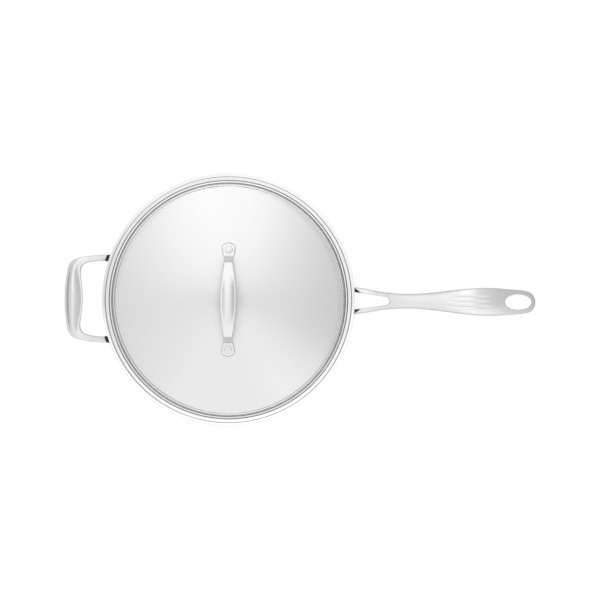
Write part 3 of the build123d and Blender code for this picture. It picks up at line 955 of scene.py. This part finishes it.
@dataclass(frozen=True)
class LidHandle:
    """The lid's handle, a strap bent into an arch with a crowned grip."""

    foot_end: float = 65.5
    foot_corner: Point = (6.9, 62.7)
    foot_thickness: float = 2.6
    foot_gap: float = 0.05
    fold: float = 47.6
    fold_thickness: float = 1.7
    riser_thickness: float = 3.4
    shoulder: float = 42.0
    grip_middle: float = 112.7
    arch_radius: float = 371.0
    arch_drop_start: float = 24.0
    arch_drop: float = 0.0055
    thickness: float = 5.2
    edge_round: float = 0.5
    crown: float = 1.5
    half_width: Course = Course(
        (0, 9.6), (10, 9.4), (20, 8.6), (30, 7.25), (38, 5.95), (42, 5.5), (46, 5.35), (47.6, 5.3),
        (49.6, 6.2), (53, 6.85), (57, 7.8), (60, 8.1), (61.5, 7.95)
    )
    leaf: Course = Course((0, 7.3), (10, 7.1), (20, 6.0), (26, 4.9), (32, 3.6), (43, 2.8), (60, 3.0))
    leaf_rise: Course = Course((0, 1.0), (10, 0.94), (19, 0.6), (26, 0.15), (30, 0.0), (70, 0.0))
    crown_shares: tuple[float, ...] = (0.0, -0.14, -0.54, -1.0)
    riser_shares: tuple[float, ...] = (0.08, 0.35, 0.65, 0.93)
    end_shares: tuple[float, ...] = (0.0, 0.22, 0.44, 0.63, 0.79, 0.91, 1.0)
    end_rise: float = 0.3
    end_fall: float = 0.45

    def _section(self, place: float, centre: Vector, up: Vector, thick: float) -> Section:
        """One section across the strap.

        Args:
            place: Distance from the middle in plan, for the widths.
            centre: The section's middle, in millimetres.
            up: The way that its top faces, longer than 1 at a mitred bend.
            thick: The strap's thickness there.

        Returns:
            The underside's points and the top's.
        """
        wide, leaf = self.half_width.at(place), self.leaf.at(place)
        lift = self.crown * self.leaf_rise.at(place)
        across = mirrored([0.0, leaf * 0.4, leaf * 0.75, leaf, leaf + 0.4, wide - 0.6, wide])
        edge = min(self.edge_round, thick * 0.25)
        tops = [lift * share for share in self.crown_shares] + [-lift, -lift, -lift - edge]
        lows = [0.0] * 6 + [edge]
        side = Vector((1, 0, 0))
        top = [centre + side * x + up * (thick / 2 + z) for x, z in zip(across, doubled(tops))]
        low = [centre + side * x + up * (-thick / 2 + z) for x, z in zip(across, doubled(lows))]
        return low, top

    def _path(self, lid: Lid) -> list[tuple[float, float, float]]:
        """The strap's middle line from its middle to the start of a foot's end.

        Args:
            lid: The lid, for its height under the foot.

        Returns:
            For each section its distance out, its height and the strap's thickness.
        """
        line = []
        for y in (0.0, 6.0, 12.0, 18.0, 24.0, 29.0, 33.0, 36.0, self.shoulder - 1.8, self.shoulder):
            fall = y * y / (2 * self.arch_radius) + self.arch_drop * max(0.0, y - self.arch_drop_start) ** 2
            line.append((y, self.grip_middle - fall, self.thickness))
        foot = [
            (y, lid.height(y) + self.foot_gap + thick / 2, thick)
            for y, thick in (
                (self.fold, self.fold_thickness),
                (self.fold + 0.8, self.fold_thickness),
                *((y, self.foot_thickness) for y in (self.fold + 1.7, 52.0, 55.5, 58.5, 61.0)),
            )
        ]
        top_y, top_z, _ = line[-1]
        fold_y, fold_z, _ = foot[0]
        for share in self.riser_shares:
            y, z = top_y + (fold_y - top_y) * share, top_z + (fold_z - top_z) * share
            line.append((y, z, self.riser_thickness))
        return line + foot

    def build(self, lid: Lid) -> bpy.types.Object:
        """Draw the strap out from one foot to the other.

        Args:
            lid: The lid that the feet stand on.

        Returns:
            The handle.
        """
        path = self._path(lid)
        half = []
        for index, (y, z, thick) in enumerate(path):
            here = Vector((0, y, z))
            before = here - Vector((0, *path[index - 1][:2])) if index else Vector((0, 1, 0))
            after = Vector((0, *path[index + 1][:2])) - here if index + 1 < len(path) else before
            before, after = before.normalized(), after.normalized()
            along = (before + after).normalized()
            up = Vector((0, -along.z, along.y)) / math.cos(before.angle(after) / 2)
            half.append((y, here, up, thick))
        bar = Bar("lid_grip", 13)
        sections = [self._foot_end(lid, 1)] + [self._section(*station) for station in reversed(half)]
        for place, centre, up, thick in half[1:]:
            flipped = Vector((0, -centre.y, centre.z)), Vector((0, -up.y, up.z))
            sections.append(self._section(place, *flipped, thick))
        sections.append(self._foot_end(lid, -1))
        bar.put(*sections[0])
        for section in sections[1:]:
            bar.draw(*section)
        return bar.finish()

    def _foot_end(self, lid: Lid, side: int) -> Section:
        """The rounded end of a foot.

        Args:
            lid: The lid that the foot stands on.
            side: 1 for the +Y foot and -1 for the other.

        Returns:
            The underside's points and the top's, along the foot's end.
        """
        corner_x, corner_y = self.foot_corner
        across = mirrored([corner_x * share for share in self.end_shares])
        low, top = [], []
        for x in across:
            y = self.foot_end - (self.foot_end - corner_y) * (x / corner_x) ** 2
            height = lid.height(y) + self.foot_gap
            low.append(Vector((x, side * y, height + self.end_rise)))
            top.append(Vector((x, side * y, height + self.foot_thickness - self.end_fall)))
        return low, top


@dataclass(frozen=True)
class LongHandle:
    """The long handle, cast, forked at the bowl and pierced for hanging."""

    tip: float = 351.3
    tip_radius: float = 13.7
    hole: float = 331.1
    hole_length: float = 29.8
    hole_width: float = 17.4
    slot_end: float = 184.3
    slot_radius: float = 4.6
    slot_taper: float = 0.1527
    cut_outer: Point = (141.7, 16.35)
    cut_inner: Point = (152.4, 8.8)
    side_round: float = 0.2
    crown_share: float = 0.09
    groove_depth: float = 0.9
    half_width: Course = Course(
        (141, 16.8), (153, 15.0), (172, 11.3), (185, 9.8), (196, 8.8), (206.6, 8.45), (227, 9.7), (248, 12.2),
        (271, 14.85), (296.2, 16.3), (311, 15.95), (324, 15.1), (337.6, 13.85), (351.3, 12.0)
    )
    height: Course = Course(
        (141, 10.0), (172, 9.8), (206.6, 9.6), (248, 10.5), (296.2, 11.6), (324, 9.4), (337.6, 8.2),
        (352, 7.6)
    )
    middle: Course = Course(
        (141, 54.6), (153, 56.7), (172, 62.5), (189.4, 68.4), (206.6, 73.9), (227.2, 80.2), (247.8, 86.7),
        (262, 91.1), (270, 93.3), (277, 94.4), (286, 94.8), (296.2, 95.0), (311, 95.1), (324.4, 94.5),
        (337.6, 93.4), (352, 92.1)
    )
    groove: Course = Course((244, 0.0), (254, 0.3), (266, 1.0), (284, 1.0), (294, 0.4), (301, 0.0))
    groove_columns: tuple[int, ...] = (-4, 0, 4)
    columns_share: tuple[float, ...] = (0.0, 0.12, 0.326, 0.533, 0.652, 0.772, 1.0)
    tip_insets: tuple[Point, ...] = ((0.0, 46.0), (0.7, 48.0), (2.6, 52.0))
    tip_shares: tuple[float, ...] = (0, 0.12, 0.24, 0.36, 0.48, 0.6, 0.72, 0.82, 0.91, 1.0)
    grooves_start: float = 294.0
    groove_rows: int = 6
    straight_places: tuple[float, ...] = (
        308.0, 301.0, 294.0, 287.0, 280.0, 271.0, 262.0, 254.0, 246.0, 238.0, 228.0, 217.0, 206.6, 197.0,
        190.5
    )

    def _top(self, x: float, y: float) -> float:
        """Height of the crowned section's top over its middle, at a place in plan.

        Args:
            x: The place's distance from the pan's axis, along the handle.
            y: Its distance to the side.

        Returns:
            The height in millimetres.
        """
        end_centre = self.tip - self.tip_radius
        tall = self.height.at(x)
        if x > end_centre:
            y = math.hypot(x - end_centre, y)
            x = end_centre
        wide = self.half_width.at(x)
        side = tall * self.side_round
        flat = wide - side
        shoulder = tall / 2 - self.crown_share * wide
        y = min(abs(y), wide)
        if y <= flat:
            return shoulder + (tall / 2 - shoulder) * (1 - (y / flat) ** 2)
        return shoulder - side + math.sqrt(max(0.0, side**2 - (y - flat) ** 2))

    def _section(self, xs: list[float], ys: list[float]) -> Section:
        """One section from the places of its columns in plan.

        Args:
            xs: Each column's x, from the middle outwards.
            ys: Each column's y.

        Returns:
            The underside's points and the top's.
        """
        low, top = [], []
        for x, y in zip(doubled(xs), mirrored(ys)):
            middle = self.middle.at(x)
            rise = self._top(x, y)
            top.append(Vector((x, y, middle + rise)))
            low.append(Vector((x, y, middle - rise)))
        return low, top

    def _straight(self, x: float) -> Section:
        """A straight section of the part that is neither forked nor pierced.

        Args:
            x: The section's distance from the pan's axis.

        Returns:
            The underside's points and the top's.
        """
        wide = self.half_width.at(x)
        side = self.height.at(x) * self.side_round
        inner = min(9.2, wide - 1.9 * side) if wide < 14 else 9.2
        inner = max(inner, 4.4 * wide / 8.0 * 0.9)
        ys = [inner * share for share in self.columns_share]
        ys += [wide - 1.05 * side, wide - 0.28 * side, wide]
        low, top = self._section([x] * len(ys), ys)
        return self._grooved((low, top), x)

    def _grooved(self, section: Section, x: float) -> Section:
        """Sink the three finger grooves into a section's top.

        Args:
            section: The section.
            x: Its distance from the pan's axis.

        Returns:
            The same section with the grooves.
        """
        low, top = section
        depth = self.groove_depth * self.groove.at(x)
        centre = len(top) // 2
        for column in self.groove_columns:
            top[centre + column].z -= depth
        return low, top

    def _around(
        self, angles: list[float], outer: list[Point], hole: float, end: float, wide: float
    ) -> tuple[list[float], list[float]]:
        """Columns that follow one end of an opening, then lead out to the side.

        Args:
            angles: Angle of each inner column round the opening, in degrees.
            outer: Places of the outer columns.
            hole: The opening's centre.
            end: Half its length.
            wide: Half its width.

        Returns:
            Each column's x and y.
        """
        xs = [hole + end * math.cos(math.radians(angle)) for angle in angles]
        ys = [wide * math.sin(math.radians(angle)) for angle in angles]
        return xs + [x for x, _ in outer], ys + [y for _, y in outer]

    def _tip_rows(self) -> list[Section]:
        """Sections from the tip towards the hanging hole, each an arc about the centre of the tip.

        Returns:
            The sections, the outermost first.
        """
        centre = self.tip - self.tip_radius
        rows = []
        for inset, reach in self.tip_insets:
            insets = [inset] * 7 + [min(inset, 2.2), min(inset, 0.9), 0.0]
            angles = [math.radians(reach * share) for share in self.tip_shares]
            spokes = [(self.tip_radius - short, angle) for short, angle in zip(insets, angles)]
            xs = [centre + spoke * math.cos(angle) for spoke, angle in spokes]
            rows.append(self._section(xs, [spoke * math.sin(angle) for spoke, angle in spokes]))
        return rows

    def build(self) -> bpy.types.Object:
        """Draw the handle out from its tip to the two prongs.

        Returns:
            The handle.
        """
        bar = Bar("long_grip", 19)
        half_long, half_wide = self.hole_length / 2, self.hole_width / 2
        rows = self._tip_rows()
        bar.put(*rows[0])
        for row in rows[1:]:
            bar.draw(*row)
        around = [
            ([0, 9, 18, 27, 36, 45, 54], [(342.3, 9.6), (343.6, 11.2), (344.2, 12.0)]),
            ([75] * 7, [(336.3, 10.9), (337.4, 13.0), (337.6, 13.7)]),
            ([92] * 7, [(330.6, 11.3), (330.8, 13.5), (330.9, 14.25)]),
            ([109] * 7, [(325.4, 11.6), (324.6, 13.9), (324.4, 14.75)]),
            ([180, 171, 162, 153, 144, 135, 128], [(319.6, 11.4), (318.4, 14.2), (318.0, 15.15)]),
        ]
        first_open = bar.row + 1
        for angles, outer in around:
            xs, ys = self._around(angles, outer, self.hole, half_long, half_wide)
            if angles[0] == angles[-1]:
                ys[:7] = [ys[6] * share for share in self.columns_share]
            bar.draw(*self._section(xs, ys))
        last_open = bar.row
        xs, ys = self._around(
            [180, 172, 164, 156, 148, 140, 133],
            [(315.0, 11.6), (314.0, 14.4), (313.8, 15.4)],
            self.hole,
            half_long + 2.0,
            half_wide + 1.6,
        )
        bar.draw(*self._section(xs, ys))
        for x in self.straight_places:
            bar.draw(*self._straight(x))
            if x == self.grooves_start:
                grooved = (bar.row, bar.row + self.groove_rows)
        slot_centre = self.slot_end - self.slot_radius
        for grow, shift in ((1.6, 0.0), (0.0, 0.0)):
            wide_x = slot_centre + 3.0 + grow
            wide = self.half_width.at(wide_x)
            outer = [(wide_x, wide - 3.3), (wide_x, wide - 1.0), (wide_x, wide)]
            xs, ys = self._around(
                [0, 11, 23, 35, 47, 59, 72],
                outer,
                slot_centre,
                self.slot_radius + grow,
                self.slot_radius + grow * 0.75,
            )
            bar.draw(*self._section(xs, ys))
        slot_row = bar.row
        bar.keep_outside(6)
        for x in (175.0, 167.0, 159.5):
            bar.draw(*self._prong(x, x))
        bar.draw(*self._prong(self.cut_inner[0] + 0.5, self.cut_outer[0] + 0.5))
        bar.draw(*self._prong(self.cut_inner[0], self.cut_outer[0]))
        end_row = bar.row
        bar.open_through((first_open, last_open), 6)
        bar.soften((first_open, last_open), 6, 0.7)
        bar.soften((slot_row, end_row), 6, 0.6)
        bar.crease_section(end_row)
        for column in self.groove_columns:
            bar.crease_line(grooved, column)
        return bar.finish()

    def _prong(self, inner_x: float, outer_x: float) -> Section:
        """A section of both prongs, slanted where the two places differ.

        Args:
            inner_x: Where it meets the slot.
            outer_x: Where it meets the outer side.

        Returns:
            The underside's points and the top's.
        """
        inner = self.slot_radius + self.slot_taper * (self.slot_end - self.slot_radius - inner_x)
        wide = self.half_width.at(outer_x)
        middle_share = (wide - 3.3 - inner) / (wide - inner)
        shares = (0.0, max(0.3, middle_share), 0.86, 1.0)
        xs = [inner_x] * 6 + [inner_x + (outer_x - inner_x) * share for share in shares]
        ys = [inner * share for share in self.columns_share[:6]]
        ys += [inner + (wide - inner) * share for share in shares]
        return self._section(xs, ys)


@dataclass(frozen=True)
class HelperHandle:
    """The helper handle, a cast loop with a crowned grip."""

    leg_bottom_rise: float = 3.0
    wall_x: float = 134.4
    wall_middle: float = 55.0
    slope: float = 0.216
    slope_end: float = 160.0
    levelling: Course = Course((160, 60.53), (163.5, 61.25), (167, 61.75), (172, 62.0), (200, 62.0))
    crown: float = 3.1
    under_share: float = 0.8
    grip_shares: tuple[float, ...] = (
        0, 0.01, 0.03, 0.085, 0.105, 0.135, 0.30, 0.46, 0.59, 0.71, 0.82, 0.88, 0.90, 0.97, 0.99, 1
    )
    rise_shares: tuple[float, ...] = (0, 0, 0, 0, 0, 0.10, 0.48, 0.84, 1.0, 0.86, 0.45, 0.04, 0, 0, 0, 0)
    grip_falls: tuple[float, ...] = (1.3, 0.35, 0.03, 0, 0, 0, 0, 0, 0, 0, 0, 0, 0, 0.05, 0.4, 1.3)
    leg_shares: tuple[float, ...] = (
        0, 0.04, 0.11, 0.19, 0.26, 0.33, 0.41, 0.48, 0.55, 0.62, 0.69, 0.76, 0.83, 0.91, 0.97, 1
    )
    leg_falls: tuple[float, ...] = (1.9, 0.9, 0.3, 0.08, 0, 0, 0, 0, 0, 0, 0, 0, 0.08, 0.3, 0.9, 1.9)

    def _middle(self, x: float) -> float:
        """Height of the bar's middle at a distance from the bowl's axis.

        Args:
            x: The distance in millimetres.

        Returns:
            The height.
        """
        if x < self.slope_end:
            return self.wall_middle + self.slope * (x - self.wall_x)
        return self.levelling.at(x)

    def build(self) -> bpy.types.Object:
        """Draw the loop out from one leg to the other.

        Returns:
            The handle.
        """
        rows = (
            (142.1, 43.6, 139.8, 50.8, 0.0),
            (143.0, 43.55, 140.9, 50.75, 0.0),
            (148.5, 43.1, 148.0, 50.5, 0.0),
            (154.5, 42.5, 154.5, 49.9, 0.0),
            (159.0, 41.75, 160.0, 49.1, 0.0),
            (163.6, 40.6, 168.2, 47.9, 0.02),
            (167.1, 38.3, 176.4, 46.0, 0.12),
            (169.2, 35.2, 181.9, 42.2, 0.3),
            (169.9, 31.2, 184.9, 36.3, 0.5),
            (169.6, 25.5, 186.2, 27.0, 0.75),
            (168.6, 17.5, 187.6, 17.8, 0.93),
            (167.5, 9.0, 188.15, 9.0, 1.0),
            (167.0, 0.0, 188.3, 0.0, 1.0),
        )
        bar = Bar("helper_grip", len(self.grip_shares))
        whole = [(*row, 1) for row in rows] + [(*row, -1) for row in reversed(rows[:-1])]
        for index, (inner_x, inner_y, outer_x, outer_y, crowned, side) in enumerate(whole):
            inner = Vector((-inner_x, side * inner_y, 0))
            outer = Vector((-outer_x, side * outer_y, 0))
            section = self._section(inner, outer, crowned, side)
            if index == 0:
                bar.put(*section)
            else:
                bar.draw(*section)
        bar.crease_section(0)
        bar.crease_section(bar.row)
        return bar.finish()

    def _section(self, inner: Vector, outer: Vector, crowned: float, side: int) -> Section:
        """One section across the bar, from its inner side to its outer side.

        Args:
            inner: The inner edge in plan.
            outer: The outer edge in plan.
            crowned: How much of the grip's crown the section has, from 0 to 1.
            side: 1 or -1, the side of the loop; not used.

        Returns:
            The underside's points and the top's.
        """
        low, top = [], []
        stations = zip(self.grip_shares, self.leg_shares, self.rise_shares, self.grip_falls, self.leg_falls)
        for grip_share, leg_share, rise, grip_fall, leg_fall in stations:
            point = inner.lerp(outer, grip_share * crowned + leg_share * (1 - crowned))
            middle = self._middle(-point.x)
            fall = grip_fall * crowned + leg_fall * (1 - crowned)
            height = middle + self.leg_bottom_rise - fall + self.crown * crowned * rise
            top.append(Vector((point.x, point.y, height)))
            under = middle - self.leg_bottom_rise + leg_fall * self.under_share
            low.append(Vector((point.x, point.y, under)))
        return low, top


def repaint(node: str, material: bpy.types.Material) -> None:
    """Give a CAD node that stays a better material."""
    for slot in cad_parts[node].material_slots:
        slot.material = material


def tie(piece: bpy.types.Object, material: bpy.types.Material, body: str, slot: str, *nodes: str) -> None:
    """Give a new piece its material and its body, and hide the nodes that it stands for.

    Args:
        piece: The new piece.
        material: Its material.
        body: The body that it moves with.
        slot: Its material slot; not used.
        nodes: The nodes that it stands for.
    """
    piece.data.materials.clear()
    piece.data.materials.append(material)
    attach(piece, body)
    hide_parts(*nodes)
    log.info("%s: %d faces", piece.name, len(piece.data.polygons))


def main() -> None:
    """Build every piece, dress it and set up the studio."""
    logging.basicConfig(level=logging.INFO, format="%(message)s")
    satin = Metal(
        "satin_round", 0.74, 0.30, Grain.ROUND, streak=0.75, turn=0.25, round_tangent=True, unevenness=0.01
    ).make()
    polished = Metal("polished_steel", 0.76, 0.10, Grain.ROUND, unevenness=0.01, depth=0.01).make()
    # A darker steel for the lid's groove band: painted shade in the groove, not a real finish.
    groove_shade = Metal("groove_painted_shade", 0.5, 0.25, Grain.ROUND, unevenness=0.02, depth=0.02).make()
    cast = Metal("satin_cast", 0.74, 0.3, unevenness=0.02, depth=0.02).make()
    plain = Metal("plain_steel", 0.7, 0.25).make()
    alloy = Metal("bare_aluminium", 0.8, 0.45).make()
    black = Plastic("black_plastic", 0.012, 0.45).make()

    lid = Lid()
    tie(Bowl().build(), polished, "pan", "polished_steel", "pan_body")
    sheet = lid.build()
    tie(sheet, polished, "lid", "satin_steel", "lid_body")
    lid.paint(sheet, satin, groove_shade)
    tie(LidHandle().build(lid), cast, "lid", "cast_steel", "lid_handle")
    tie(RivetHead().build(lid), plain, "lid", "rivet_steel", "lid_rivets")
    tie(LongHandle().build(), cast, "pan", "cast_steel", "long_handle")
    tie(HelperHandle().build(), cast, "pan", "cast_steel", "helper_handle")

    repaint("base_cap", polished)
    repaint("base_core", alloy)
    for node in ("long_handle_bracket", "helper_bracket_left", "helper_bracket_right"):
        repaint(node, plain)
    for node in ("long_handle_rivets", "helper_rivets", "lid_rivet_washers"):
        repaint(node, plain)
    for handle in ("long_handle", "helper"):
        for side in ("left", "right"):
            repaint(f"{handle}_spacer_{side}", black)

    Studio().build()


if __name__ == "__main__":
    main()
